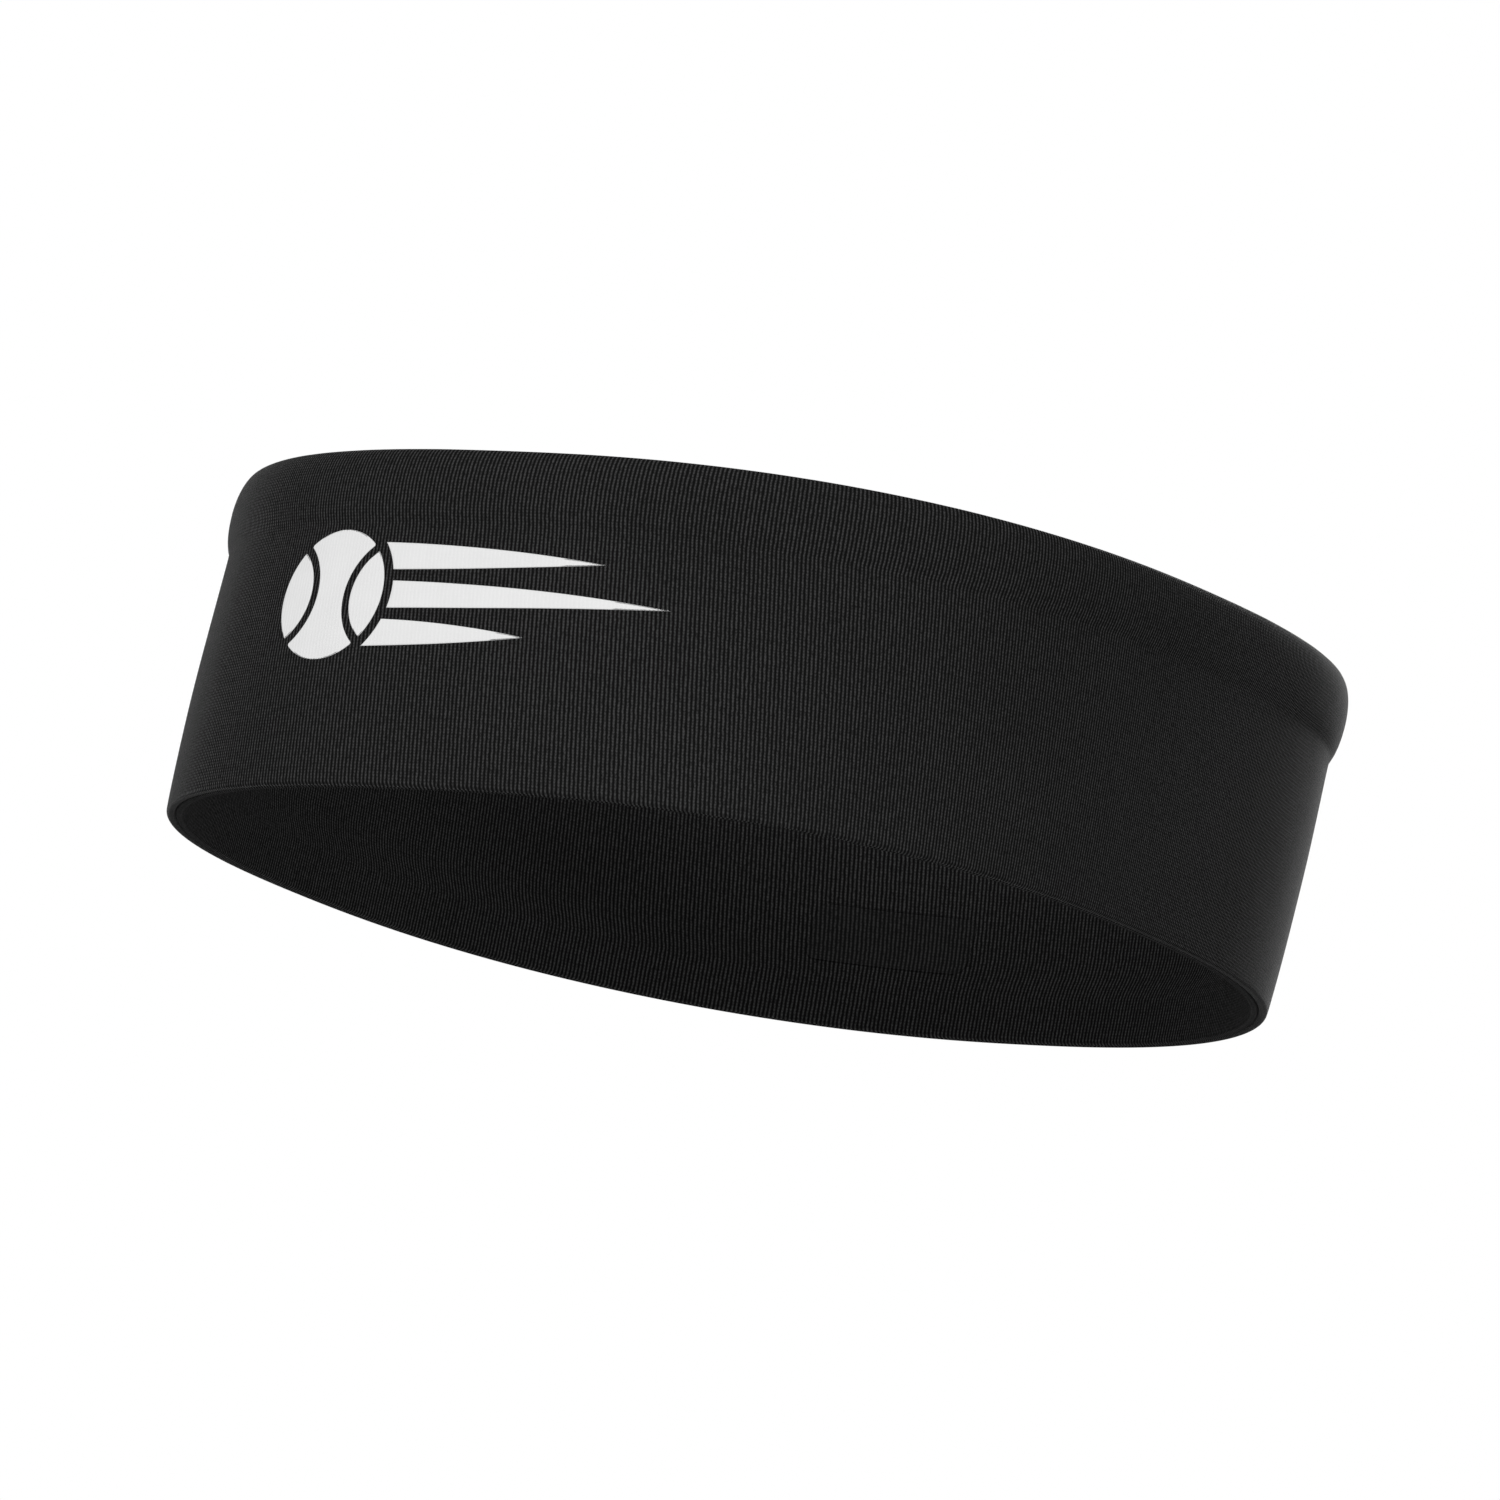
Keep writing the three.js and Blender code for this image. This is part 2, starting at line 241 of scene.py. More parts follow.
def drawn(along, shift):
    """A distance along the cloth, before the knit was drawn to one side."""
    _, outwards = outline_at(along % CIRCUMFERENCE)
    return along - shift * (outwards.x * DRAWN_TOWARDS[1] - outwards.y * DRAWN_TOWARDS[0])


def outer_wale(along, climb):
    """How many wales of the outer knit lie between the forehead and a place on it."""
    wall = ALLOWANCE + WALL_TOP
    shift = WALL_DRAW * min(climb, wall) + HEM_DRAW * max(0, climb - wall)
    crowd = math.sin(4 * math.pi * along / CIRCUMFERENCE) / (4 * math.pi)
    return OUTER_WALES * (drawn(along, shift) / CIRCUMFERENCE - OUTER_STRETCH * crowd)


def lining_wale(along, climb):
    """The same on the lining, whose wales are evenly spaced."""
    ridge = ALLOWANCE + RIDGE_TOP
    shift = SEAM_DRAW * min(climb, ridge) + WALL_DRAW * max(0, climb - ridge)
    return LINING_WALES * drawn(along, shift) / CIRCUMFERENCE


def knitted_tube(name, line, material, evenness, wale):
    """Lays a grid of cloth round the outline, with a section's line up it, and thickens it."""
    bm = bmesh.new()
    rows = len(line) - 1
    bmesh.ops.create_grid(bm, x_segments=STEPS_AROUND, y_segments=rows, size=1)
    climb = [0.0]
    for (ax, az), (bx, bz) in zip(line, line[1:]):
        climb.append(climb[-1] + math.hypot(bx - ax, bz - az))
    cloth = bm.loops.layers.uv.new("cloth")
    for face in bm.faces:
        for loop in face.loops:
            share, row = (loop.vert.co.x + 1) / 2, round((loop.vert.co.y + 1) / 2 * rows)
            along = (share + 0.5) * CIRCUMFERENCE
            loop[cloth].uv = (wale(along, climb[row]), climb[row] / COURSE)
    ends = [vert for vert in bm.verts if abs(vert.co.x) > 1 - 0.5 / STEPS_AROUND]
    for vert in bm.verts:
        share = round((vert.co.x + 1) / 2 * STEPS_AROUND) % STEPS_AROUND / STEPS_AROUND
        offset, z = line[round((vert.co.y + 1) / 2 * rows)]
        along = (share + 0.5) * CIRCUMFERENCE
        vert.co = on_head(along, offset + evenness(along, offset, z), z)
    bmesh.ops.remove_doubles(bm, verts=ends, dist=0.001)
    bmesh.ops.recalc_face_normals(bm, faces=bm.faces)
    tube = finish_mesh(bm, name, material)
    ply = tube.modifiers.new("ply", "SOLIDIFY")
    ply.thickness = PLY * MM
    ply.offset = 0
    ply.use_even_offset = True
    return tube


def outer_evenness(along, offset, z):
    """Slight waves, and small gathers where the hem is sewn down."""
    point, _ = outline_at(along)
    on_leg = offset < HEM_LEG + PLY and z > WALL_TOP
    near_seam = max(0, 1 - abs(z - WALL_TOP - 1) / 5)
    depth, length = LEG_GATHERS if on_leg else FACE_GATHERS
    gathers = noise.noise(Vector((point.x, point.y, z * 0.3)) / length) * near_seam
    return softness(along, z) + gathers * depth


def lining_evenness(along, offset, z):
    """Slight waves, and small bumps over the raw edges."""
    point, _ = outline_at(along)
    on_ridge = max(0, 1 - abs(z - RIDGE_TOP) / 4)
    bumps = noise.noise(Vector((point.x, point.y, 40)) / RIDGE_WAVE[1]) * on_ridge
    return softness(along, z) + RIDGE_WAVE[0] * bumps


# ================================================================ transfers
FRONT = (-0.25, 0.25)  # shares of the way round the outline
BACK = (0.25, 0.75)
OUTER_LINE = outer_line()
LINING_LINE = lining_line()
OUTER_WALL = [(offset, z) for offset, z in OUTER_LINE if 3 < z < WALL_TOP and offset > OUTER - 0.1]
LINING_WALL = [(offset, z) for offset, z in LINING_LINE if 3 < z < WALL_TOP - 3]
HALVINGS = 34  # places a point on the outline to well under a micron
FILM = 0.12  # thickness of a transfer
FILM_EDGE = 0.14  # width of its sloping rim
FILM_RIM = 0.45  # how thick the rim starts, as a share of the film
FILM_CLEAR = 0.02  # the gap below it
LABEL_RISE = 0.54  # of a ply, which keeps the label clear of the cloth's facets


def offset_on(line, z):
    """The offset of a section's rising line at a height."""
    for (ax, az), (bx, bz) in zip(line, line[1:]):
        if az <= z <= bz:
            return ax + (bx - ax) * (z - az) / (bz - az)
    raise ValueError(f"the line has no point {z} mm up")


def outer_surface(along, z):
    """The outer knit's face, where the print lies."""
    return offset_on(OUTER_WALL, z) + PLY / 2 + softness(along, z)


def lining_surface(along, z):
    """The lining's inner face, where the label lies over the ridge of the raw edges."""
    return offset_on(LINING_WALL, z) - LABEL_RISE * PLY + lining_evenness(along, 0, z)


def along_at(x, z, offset, side):
    """How far along the outline a point lies that is x across, on the front or the back."""
    low, high = (share * CIRCUMFERENCE for share in side)
    rising = on_head(high, offset, z).x > on_head(low, offset, z).x
    for _ in range(HALVINGS):
        middle = (low + high) / 2
        if (on_head(middle, offset, z).x < x) == rising:
            low = middle
        else:
            high = middle
    return (low + high) / 2


def film(name, shape, cells, surface, wale, side, lift, material):
    """A thin transfer on the cloth. shape(s, t) fills its outline, as X and height."""
    bm = bmesh.new()
    bmesh.ops.create_grid(bm, x_segments=cells[0], y_segments=cells[1], size=1)
    for vert in bm.verts:
        x, z = shape((vert.co.x + 1) / 2, (vert.co.y + 1) / 2)
        vert.co = (x, 0, z)
    bmesh.ops.remove_doubles(bm, verts=bm.verts, dist=0.02)
    base = bm.faces[:]
    raised = bmesh.ops.extrude_face_region(bm, geom=base, use_keep_orig=True)["geom"]
    top = [part for part in raised if isinstance(part, bmesh.types.BMFace)]
    for vert in {vert for face in top for vert in face.verts}:
        vert.co.y = FILM_RIM
    bmesh.ops.inset_region(bm, faces=top, thickness=FILM_EDGE, use_even_offset=True)
    for vert in {vert for face in top for vert in face.verts}:
        vert.co.y = 1
    bmesh.ops.recalc_face_normals(bm, faces=bm.faces)
    height = bm.verts.layers.float.new("height_along_cloth")
    across = bm.verts.layers.float.new("across")
    for vert in bm.verts:
        x, share, z = vert.co
        along = along_at(x, z, surface(0, z), side)
        offset = surface(along, z) + math.copysign(FILM_CLEAR + abs(lift) * share, lift)
        vert[height] = z
        vert[across] = wale(along, z + ALLOWANCE)
        vert.co = on_head(along, offset, z)
    cloth = bm.loops.layers.uv.new("cloth")
    for face in bm.faces:
        for loop in face.loops:
            loop[cloth].uv = (loop.vert[across], loop.vert[height] / COURSE)
    bmesh.ops.recalc_face_normals(bm, faces=bm.faces)
    return finish_mesh(bm, name, material)


BALL_RADIUS = 11
BALL = (-26, 32)  # X and height of its middle
SEAM_RADIUS = 9.5
SEAM_WIDTH = 1.5
SEAM_INK = SEAM_RADIUS - SEAM_WIDTH / 2  # edge of a side part along the bare seam
SEAM_BARE = SEAM_RADIUS + SEAM_WIDTH / 2  # edge of the middle part along it
SEAM_REACH = 13.2  # from the ball's middle to that of a seam's circle
STREAK_CLEAR = BALL_RADIUS + 1.8
STREAK_TALL = 4.6
STREAK_BEND = STREAK_TALL * 0.08
STREAKS = {"top": (25, 6.5), "middle": (37, 0), "bottom": (14, -6.5)}  # X of the tip, and rise


def half_chord(radius, height):
    """Half a circle's width at a height above its middle."""
    return math.sqrt(max(0, radius * radius - height * height))


def ball_side(direction):
    """Left or right part of the ball: inside both the disc and a seam's circle."""
    crossing = (BALL_RADIUS**2 - SEAM_INK**2 + SEAM_REACH**2) / (2 * SEAM_REACH)
    reach = half_chord(BALL_RADIUS, crossing)

    def shape(s, t):
        rise = reach * math.sin((t - 0.5) * math.pi)
        rim = half_chord(BALL_RADIUS, rise)
        seam = SEAM_REACH - half_chord(SEAM_INK, rise)
        low, high = sorted((direction * rim, direction * seam))
        return BALL[0] + low + (high - low) * s, BALL[1] + rise

    return shape


def ball_middle(s, t):
    """The part of the ball between its two bare seams."""
    rise = BALL_RADIUS * math.sin((t - 0.5) * math.pi)
    seam = SEAM_REACH - half_chord(SEAM_BARE, rise)
    half = min(half_chord(BALL_RADIUS, rise), seam if abs(rise) < SEAM_BARE else BALL_RADIUS)
    return BALL[0] + half * (2 * s - 1), BALL[1] + rise


def streak(tip, rise):
    """A streak that starts square to the ball and tapers to a point."""
    level = BALL[1] + rise

    def root(z):
        return BALL[0] + half_chord(STREAK_CLEAR, z - BALL[1])

    def curve(s, z, lean):
        a = (root(z), z)
        b = (root(z) + (tip - root(z)) * 0.55, z + lean)
        c = (tip, level)
        return tuple(
            (1 - s) ** 2 * a[i] + 2 * s * (1 - s) * b[i] + s * s * c[i] for i in range(2)
        )

    def shape(s, t):
        low = curve(s, level - STREAK_TALL / 2, STREAK_BEND)
        high = curve(s, level + STREAK_TALL / 2, -STREAK_BEND)
        x = low[0] + (high[0] - low[0]) * t
        z = low[1] + (high[1] - low[1]) * t
        straight = root(level - STREAK_TALL / 2) * (1 - t) + root(level + STREAK_TALL / 2) * t
        return x + (root(level + STREAK_TALL * (t - 0.5)) - straight) * (1 - s), z

    return shape


LABEL_SIZE = (26, 10)
LABEL = (-28, 16)  # X and height of its middle
LABEL_CORNER = 2


def label_shape(s, t):
    """A rectangle with round corners."""
    half_width, half_height = LABEL_SIZE[0] / 2, LABEL_SIZE[1] / 2
    rise = half_height * math.sin((t - 0.5) * math.pi)
    into_corner = max(0, abs(rise) - (half_height - LABEL_CORNER))
    half = half_width - LABEL_CORNER + half_chord(LABEL_CORNER, into_corner)
    return LABEL[0] + half * (2 * s - 1), LABEL[1] + rise


# ================================================================ stitches
STITCH = 2.5  # length of one
STITCH_STAND = 0.12  # how far its middle stands up
STITCH_SHOWS = 0.85  # share of a row stitch's length that shows
THREAD_RADIUS = 0.17
ROW_HEIGHT = 2.2  # above the wall's top
BITE_HEIGHT = 0.35
BITE_STEP = 0.1  # from the row down to a bite's start, and outwards from there to its end


def hem_stitches(material):
    """Thread over the raw edge of the hem's leg: a running row and slanting bites below it."""
    count = round(CIRCUMFERENCE / STITCH)
    hub = CIRCUMFERENCE / (2 * math.pi)
    length = CIRCUMFERENCE / count
    face = HEM_LEG - PLY / 2 - THREAD_RADIUS * 0.3
    row, low = WALL_TOP + ROW_HEIGHT, WALL_TOP + BITE_HEIGHT
    bite = (length * 0.5, face + BITE_STEP, low)
    bm = bmesh.new()
    thread_bite(bm, (0, face, row), (length * STITCH_SHOWS, face, row))
    thread_bite(bm, (0, face, row - BITE_STEP), bite)
    thread_bite(bm, bite, (length, face, row - BITE_STEP))
    bmesh.ops.translate(bm, vec=(hub, 0, 0), verts=bm.verts)
    bmesh.ops.spin(
        bm, geom=bm.verts[:] + bm.edges[:] + bm.faces[:], axis=(0, 0, 1), cent=(0, 0, 0),
        angle=2 * math.pi * (count - 1) / count, steps=count - 1, use_duplicate=True,
    )
    for vert in bm.verts:
        along = math.atan2(vert.co.y, vert.co.x) % (2 * math.pi) * hub
        offset = math.hypot(vert.co.x, vert.co.y) - hub
        vert.co = on_head(along, offset + outer_evenness(along, HEM_LEG, vert.co.z), vert.co.z)
    bmesh.ops.recalc_face_normals(bm, faces=bm.faces)
    return finish_mesh(bm, "hem_stitches", material)


def thread_bite(bm, start, end):
    """A stitch between two points, each (along, offset, height), that stands up in its middle."""
    made = bmesh.ops.create_uvsphere(bm, u_segments=6, v_segments=6, radius=1)["verts"]
    slant = math.atan2(end[2] - start[2], end[0] - start[0])
    for vert in made:
        share = math.asin(max(-1, min(1, vert.co.z))) / math.pi + 0.5
        side, up = vert.co.x * THREAD_RADIUS, vert.co.y * THREAD_RADIUS
        along, offset, z = (a + (b - a) * share for a, b in zip(start, end))
        stand = STITCH_STAND * math.sin(math.pi * share)
        vert.co = (offset - stand + up, along - side * math.sin(slant), z + side * math.cos(slant))


# ================================================================ materials
class Nodes:
    """A short hand for building a material's nodes."""

    def __init__(self, name):
        self.material = bpy.data.materials.new(name)
        self.material.use_nodes = True
        self.tree = self.material.node_tree
        self.shader = self.tree.nodes["Principled BSDF"]

    def add(self, kind, inputs=None, **settings):
        node = self.tree.nodes.new(kind)
        for key, value in settings.items():
            setattr(node, key, value)
        for key, value in (inputs or {}).items():
            self.put(node.inputs[key], value)
        return node

    def put(self, socket, value):
        if isinstance(value, bpy.types.NodeSocket):
            self.tree.links.new(value, socket)
        else:
            socket.default_value = value

    def math(self, operation, *values):
        node = self.add("ShaderNodeMath", operation=operation)
        for socket, value in zip(node.inputs, values):
            self.put(socket, value)
        return node.outputs[0]

    def noise(self, vector, scale, detail=2.0, roughness=0.5):
        inputs = {"Vector": vector, "Scale": scale, "Detail": detail, "Roughness": roughness}
        return self.add("ShaderNodeTexNoise", inputs).outputs["Fac"]

    def ramp(self, value, low, high, start=0.0, end=1.0):
        """Blends from one colour to another as a value goes from start to end."""
        spread = self.add("ShaderNodeMapRange", {0: value, 1: start, 2: end})
        mix = self.add("ShaderNodeMix", {"Factor": spread.outputs[0]}, data_type="RGBA")
        mix.inputs[6].default_value = (*low, 1)
        mix.inputs[7].default_value = (*high, 1)
        return mix.outputs[2]

    def bump(self, height, distance, strength=1.0):
        inputs = {"Height": height, "Distance": distance * MM, "Strength": strength}
        return self.add("ShaderNodeBump", inputs).outputs["Normal"]


YARN_GRAIN = 900  # scale of the wales' slight wander
YARN_FUZZ = 2600  # scale of the fibres' unevenness
WANDER = 0.35  # wales, from side to side
WALE_SHARPNESS = 1.8  # 1 would leave a wale a plain wave
LEG_SLANT = 1.4  # courses that a loop's leg climbs per wale
SLUB_SPREAD = (0.9, 0.5, 1)  # thicker lengths of yarn, a wale wide and two loops long


def knit_loops(nodes):
    """Jersey: rounded wales, each of loops whose two legs slant up and in. Gives the texture
    coordinates, the loops' height, and a tone for the colour: painted shade, darker where
    the loops are low, times the yarn's unevenness, as thicker yarn is lighter."""
    place = nodes.add("ShaderNodeTexCoord")
    cloth = nodes.add("ShaderNodeSeparateXYZ", {0: place.outputs["UV"]})
    across, up = cloth.outputs[0], cloth.outputs[1]
    grain = nodes.noise(place.outputs["Object"], YARN_GRAIN, 3)
    wander = nodes.math("MULTIPLY", nodes.math("SUBTRACT", grain, 0.5), WANDER)
    across = nodes.math("ADD", across, wander)
    turn = nodes.math("MULTIPLY", across, 2 * math.pi)
    wale = nodes.math("MULTIPLY_ADD", nodes.math("COSINE", turn), -0.5, 0.5)
    wale = nodes.math("POWER", wale, WALE_SHARPNESS)
    leg = nodes.math("ABSOLUTE", nodes.math("SUBTRACT", nodes.math("FRACT", across), 0.5))
    climb = nodes.math("MULTIPLY_ADD", leg, -LEG_SLANT, up)
    loop = nodes.math("SINE", nodes.math("MULTIPLY", climb, 2 * math.pi))
    loop = nodes.math("MULTIPLY_ADD", loop, 0.5, 0.5)
    height = nodes.math("MULTIPLY", wale, nodes.math("MULTIPLY_ADD", loop, 0.5, 0.5))
    spot = nodes.add(
        "ShaderNodeVectorMath", {0: place.outputs["UV"], 1: SLUB_SPREAD}, operation="MULTIPLY"
    ).outputs[0]
    slubs = nodes.math("MULTIPLY_ADD", nodes.noise(spot, 1, 1), 1.1, 0.45)
    fuzz = nodes.noise(place.outputs["Object"], YARN_FUZZ, 1)
    yarn = nodes.math("MULTIPLY", slubs, nodes.math("MULTIPLY_ADD", fuzz, 1.9, 0.05))
    # the last value is painted shade: the loops' height, darker in the grooves, times the yarn's
    # random tone
    return place, height, nodes.math("MULTIPLY", height, yarn)


def jersey(name, groove_shade, crest, sheen):
    """Matt black knit: painted shade darkens the grooves and leaves the wales lighter, with uneven
    yarn and a grey bloom edge-on.
    """
    nodes = Nodes(name)
    place, height, groove_shade_and_yarn = knit_loops(nodes)
    cloud = nodes.noise(place.outputs["Object"], 28, 2)
    tone = nodes.math("MULTIPLY", groove_shade_and_yarn, nodes.math("MULTIPLY_ADD", cloud, 0.5, 0.75))
    # painted shade: the groove colour where the loops are low, the crest colour where they stand
    # high, with random yarn and cloth tone on top
    colour = nodes.ramp(tone, groove_shade, crest, 0.05, 0.95)
    shader = nodes.shader
    nodes.put(shader.inputs["Base Color"], colour)
    rough = nodes.math("MULTIPLY_ADD", height, -0.12, 0.92)
    nodes.put(shader.inputs["Roughness"], rough)
    shader.inputs["Specular IOR Level"].default_value = 0.02
    shader.inputs["Sheen Weight"].default_value = sheen
    shader.inputs["Sheen Roughness"].default_value = 0.15
    shader.inputs["Sheen Tint"].default_value = (1, 1, 1, 1)
    nodes.put(shader.inputs["Normal"], nodes.bump(height, 0.10, 0.9))
    return nodes.material


def transfer(name, low, high, ribs, roughness, gloss):
    """A heat-set film that has taken up the knit's ribs, with faint mottling. The ribs also darken
    its colour in their grooves: painted shade.
    """
    nodes = Nodes(name)
    place, height, groove_shade_and_yarn = knit_loops(nodes)
    mottle = nodes.noise(place.outputs["Object"], 150, 3)
    # painted shade: a share, ribs, of the tone is darker in the knit's grooves; the rest is random
    # mottling
    tone = nodes.math("MULTIPLY_ADD", groove_shade_and_yarn, ribs, nodes.math("MULTIPLY", mottle, 1 - ribs))
    nodes.put(nodes.shader.inputs["Base Color"], nodes.ramp(tone, low, high, 0.1, 0.8))
    nodes.shader.inputs["Specular IOR Level"].default_value = gloss
    nodes.put(
        nodes.shader.inputs["Roughness"], nodes.math("MULTIPLY_ADD", mottle, 0.15, roughness)
    )
    nodes.put(nodes.shader.inputs["Normal"], nodes.bump(height, 0.05, 0.6))
    return nodes.material


def sewing_thread(name):
    """Twisted black thread."""
    nodes = Nodes(name)
    place = nodes.add("ShaderNodeTexCoord")
    twist = nodes.add(
        "ShaderNodeTexWave",
        {"Vector": place.outputs["Object"], "Scale": 900, "Distortion": 1.5},
        bands_direction="DIAGONAL",
    ).outputs["Fac"]
    # painted shade: darker between the twists, where the bump is low
    nodes.put(
        nodes.shader.inputs["Base Color"],
        nodes.ramp(twist, (0.007, 0.007, 0.007), (0.024, 0.024, 0.025)),
    )
    nodes.shader.inputs["Roughness"].default_value = 0.6
    nodes.put(nodes.shader.inputs["Normal"], nodes.bump(twist, 0.05))
    return nodes.material


def woven_elastic(name):
    """Black woven elastic with ribs along it."""
    nodes = Nodes(name)
    place = nodes.add("ShaderNodeTexCoord")
    rib = nodes.add(
        "ShaderNodeTexWave",
        {"Vector": place.outputs["Object"], "Scale": 260},
        bands_direction="Z",
    ).outputs["Fac"]
    fuzz = nodes.noise(place.outputs["Object"], 1200, 2)
    # painted shade: darker between the ribs, where the bump is low, times random fuzz
    tone = nodes.math("MULTIPLY", rib, fuzz)
    nodes.put(
        nodes.shader.inputs["Base Color"],
        nodes.ramp(tone, (0.01, 0.01, 0.01), (0.04, 0.04, 0.04)),
    )
    nodes.shader.inputs["Roughness"].default_value = 0.85
    nodes.put(nodes.shader.inputs["Normal"], nodes.bump(rib, 0.2))
    return nodes.material


# ================================================================ the band
# painted shade: the dark colour at the bottom of the knit's grooves; the colours after it are the
# wales' crests, left lighter by it
GROOVE_SHADE = (0.006, 0.006, 0.006)

outer_knit = jersey("black_jersey_outer", GROOVE_SHADE, (0.063, 0.063, 0.0635), sheen=0.21)
lining_knit = jersey("black_jersey_lining", GROOVE_SHADE, (0.074, 0.074, 0.0745), sheen=0.01)
# ribs: the share of each film's colour that is painted shade in the knit's grooves; the rest is
# random mottling
white_film = transfer(
    "white_transfer", (0.86, 0.86, 0.86), (0.93, 0.93, 0.93), ribs=0.35, roughness=0.45, gloss=0.3
)
black_film = transfer(
    "tonal_transfer", (0.005, 0.005, 0.005), (0.052, 0.052, 0.0525),
    ribs=0.85, roughness=0.5, gloss=0.04,
)
black_thread = sewing_thread("black_thread")
hem_elastic = woven_elastic("woven_elastic")


def belongs(piece, slot, *nodes):
    """Every piece rides the one body and takes the place of its own nodes."""
    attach(piece, "root")
    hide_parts(*nodes)


outer = knitted_tube("outer_jersey", OUTER_LINE, outer_knit, outer_evenness, outer_wale)
belongs(outer, "knit_outer", "outer_tube")

lining = knitted_tube("lining_jersey", LINING_LINE, lining_knit, lining_evenness, lining_wale)
belongs(lining, "knit_lining", "lining_tube")

for name, shape, cells in (
    ("ball_left", ball_side(-1), (14, 40)),
    ("ball_middle", ball_middle, (30, 60)),
    ("ball_right", ball_side(1), (14, 40)),
):
    part = film(
        f"transfer_{name}", shape, cells, outer_surface, outer_wale, FRONT, FILM, white_film
    )
    belongs(part, "white_transfer", f"print_{name}")

for name, (tip, rise) in STREAKS.items():
    part = film(
        f"transfer_streak_{name}", streak(tip, rise), (70, 10), outer_surface, outer_wale,
        FRONT, FILM, white_film,
    )
    belongs(part, "white_transfer", f"print_streak_{name}")

label = film(
    "blank_care_transfer", label_shape, (50, 30), lining_surface, lining_wale,
    BACK, -FILM, black_film,
)
belongs(label, "tonal_transfer", "care_label")

stitches = hem_stitches(black_thread)
belongs(stitches, "thread", "hem_seam_stitching")

for node, material in (
    ("hem_elastic", hem_elastic),
    ("elastic_join_tack", black_thread),
    ("bottom_seam_binding", black_thread),
):
    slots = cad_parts[node].data.materials
    slots.clear()
    slots.append(material)


# ================================================================ floor, light and camera
def floor_material():
    """Pale and matt from above. From below it lets the light and the view through."""
    nodes = Nodes("pale_floor")
    place = nodes.add("ShaderNodeTexCoord")
    grain = nodes.noise(place.outputs["Object"], 1.5, 3)
    tone = nodes.ramp(grain, (0.93, 0.93, 0.93), (0.96, 0.96, 0.96))
    nodes.put(nodes.shader.inputs["Base Color"], tone)
    nodes.shader.inputs["Roughness"].default_value = 0.9
    nodes.shader.inputs["Specular IOR Level"].default_value = 0.1
    clear = nodes.add("ShaderNodeBsdfTransparent")
    under = nodes.add("ShaderNodeNewGeometry").outputs["Backfacing"]
    mix = nodes.add(
        "ShaderNodeMixShader", {0: under, 1: nodes.shader.outputs[0], 2: clear.outputs[0]}
    )
    output = nodes.tree.nodes["Material Output"]
    nodes.tree.links.new(mix.outputs[0], output.inputs["Surface"])
    return nodes.material


FLOOR_RADIUS = 60  # metres, as is the drop below the band
FLOOR_DROP = 0.0001


def make_floor():
    bm = bmesh.new()
    bmesh.ops.create_circle(bm, cap_ends=True, segments=96, radius=FLOOR_RADIUS)
    mesh = bpy.data.meshes.new("floor")
    bm.to_mesh(mesh)
    bm.free()
    mesh.materials.append(floor_material())
    floor = bpy.data.objects.new("floor", mesh)
    floor.location.z = -FLOOR_DROP
    bpy.context.scene.collection.objects.link(floor)
    floor.visible_diffuse = False
    floor.visible_glossy = False


def sun(name, azimuth, elevation, strength, spread):
    """A soft distant light. Azimuth 0 shines from the front, 90 from the wearer's left."""
    lamp = bpy.data.lights.new(name, "SUN")
    lamp.energy = strength
    lamp.angle = math.radians(spread)
    light = bpy.data.objects.new(name, lamp)
    turn, rise = math.radians(azimuth), math.radians(elevation)
    towards = Vector(
        (math.sin(turn) * math.cos(rise), -math.cos(turn) * math.cos(rise), math.sin(rise))
    )
    light.rotation_euler = towards.to_track_quat("Z", "Y").to_euler()
    bpy.context.scene.collection.objects.link(light)


FILL = 0.45  # strength of the light from all round, where the backdrop shows at 1


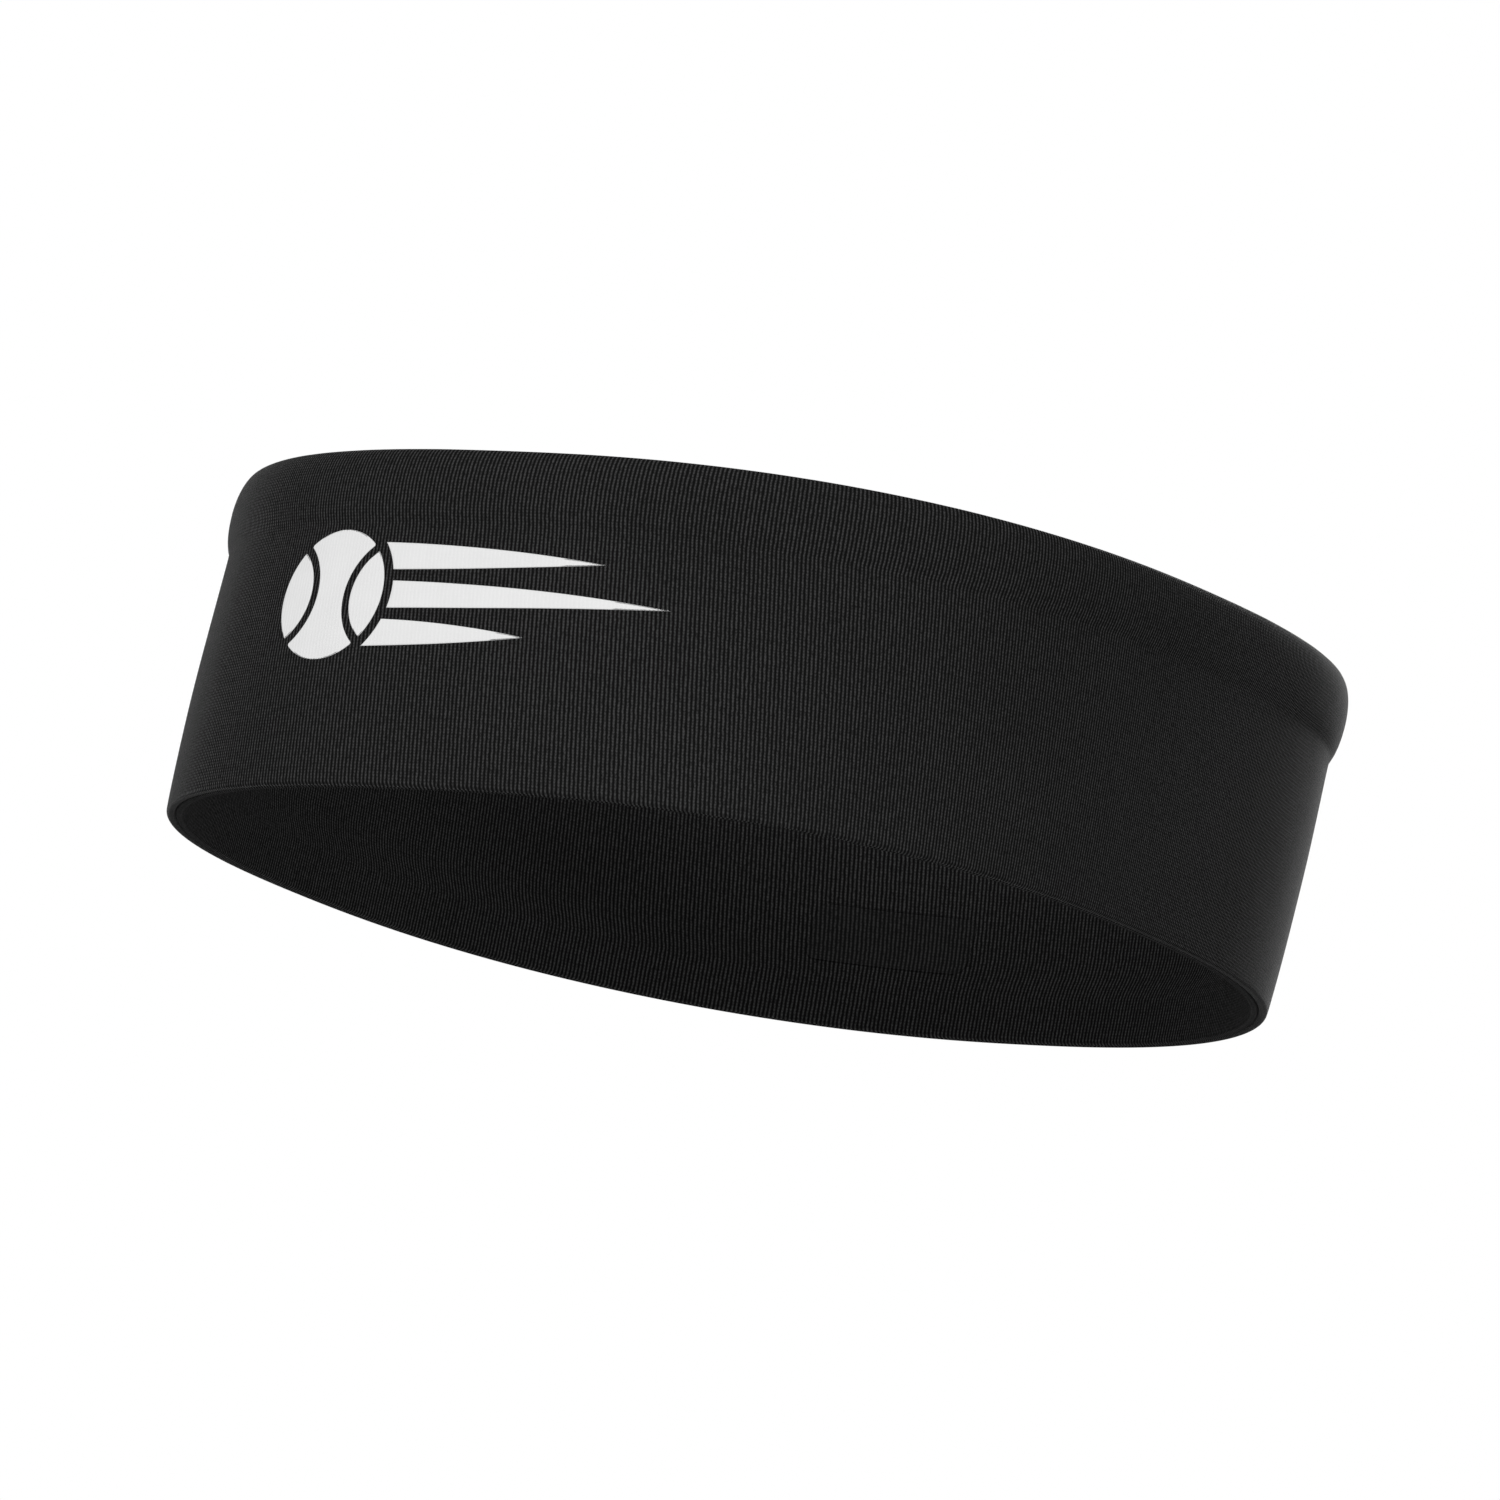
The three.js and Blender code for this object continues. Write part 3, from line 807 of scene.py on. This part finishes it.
def make_light():
    """A white backdrop, soft light from all round, and lamps in front, behind and above."""
    world = bpy.data.worlds.new("white_studio")
    world.use_nodes = True
    tree = world.node_tree
    backdrop = tree.nodes["Background"]
    backdrop.inputs["Color"].default_value = (1, 1, 1, 1)
    backdrop.inputs["Strength"].default_value = 1
    fill = tree.nodes.new("ShaderNodeBackground")
    fill.inputs["Color"].default_value = (1, 1, 1, 1)
    fill.inputs["Strength"].default_value = FILL
    seen = tree.nodes.new("ShaderNodeLightPath").outputs["Is Camera Ray"]
    mix = tree.nodes.new("ShaderNodeMixShader")
    tree.links.new(seen, mix.inputs[0])
    tree.links.new(fill.outputs[0], mix.inputs[1])
    tree.links.new(backdrop.outputs[0], mix.inputs[2])
    tree.links.new(mix.outputs[0], tree.nodes["World Output"].inputs["Surface"])
    bpy.context.scene.world = world
    sun("key", 13, 5, 1.85, 24)
    sun("rim", 197, 20, 2.6, 20)
    sun("top", 0, 90, 0.4, 60)


VIEW_TURN = math.radians(34)
VIEW_RISE = math.radians(-9.88)
VIEW_ROLL = math.radians(8.95)
VIEW_DISTANCE = 4.1  # metres, as are the shifts below it
AIM_RIGHT = 0.00037
AIM_UP = -0.00108
VIEW_LENS = 610.6  # millimetres, as is the sensor's width
SENSOR = 36


def make_camera():
    data = bpy.data.cameras.new("camera")
    data.lens = VIEW_LENS
    data.sensor_width = SENSOR
    data.clip_end = 200
    camera = bpy.data.objects.new("camera", data)
    back = Vector((
        math.sin(VIEW_TURN) * math.cos(VIEW_RISE),
        -math.cos(VIEW_TURN) * math.cos(VIEW_RISE),
        math.sin(VIEW_RISE),
    ))
    level = Vector((math.cos(VIEW_TURN), math.sin(VIEW_TURN), 0))
    upright = back.cross(level)
    right = level * math.cos(VIEW_ROLL) + upright * math.sin(VIEW_ROLL)
    up = upright * math.cos(VIEW_ROLL) - level * math.sin(VIEW_ROLL)
    middle = Vector((0, TO_CAD, BAND_HEIGHT / 2)) * MM
    spot = middle + back * VIEW_DISTANCE + right * AIM_RIGHT + up * AIM_UP
    turned = Matrix((right, up, back)).transposed().to_4x4()
    camera.matrix_world = Matrix.Translation(spot) @ turned
    bpy.context.scene.collection.objects.link(camera)
    bpy.context.scene.camera = camera


make_floor()
make_light()
make_camera()
bpy.context.scene.view_settings.view_transform = "Standard"
